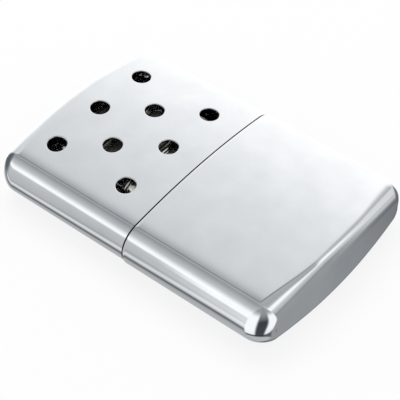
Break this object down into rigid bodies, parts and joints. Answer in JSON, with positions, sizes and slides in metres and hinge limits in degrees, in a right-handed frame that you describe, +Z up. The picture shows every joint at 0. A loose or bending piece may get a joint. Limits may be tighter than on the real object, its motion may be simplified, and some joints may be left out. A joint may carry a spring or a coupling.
{
  "type": "catalytic hand warmer",
  "caption": "Flat oval pocket warmer: drawn fuel tank with packed cotton, slotted burner with catalyst mat on a filler neck, and a vented lid that slides off.",
  "frame": {"origin": "under the middle of the case, at the lowest point of its back, which is the bottom centre of the bounding box", "axes": "+X across the width, +Y along the length from the tank's closed end to the lid's closed end, +Z up through the thickness towards the vented face"},
  "size_m": [0.0666, 0.0974, 0.0175],
  "materials": {
    "chrome_case": "high polish chrome plate on drawn brass",
    "tinplate": "satin nickel plate on drawn steel",
    "burner_steel": "bright nickel plate on pressed steel",
    "glass_fibre": "platinum-coated glass-fibre mat, fluffy",
    "cotton": "packed cotton wool",
    "felt": "pressed wool felt"
  },
  "bodies": {
    "tank": {"tank_shell": "chrome_case", "tank_top": "tinplate", "filler_neck": "tinplate", "cotton_packing": "cotton", "neck_wick": "felt"},
    "burner": {"burner_skirt": "burner_steel", "mat_tray": "burner_steel", "catalyst_mat": "glass_fibre", "burner_head": "burner_steel", "burner_cap": "burner_steel"},
    "lid": {"lid_shell": "chrome_case"}
  },
  "joints": [
    {"name": "lid_slide", "type": "slide", "parent": "tank", "child": "lid", "axis": [0, 1, 0], "range_m": [0, 0.06]},
    {"name": "burner_slide", "type": "slide", "parent": "tank", "child": "burner", "axis": [0, 1, 0], "range_m": [0, 0.0054]}
  ]
}
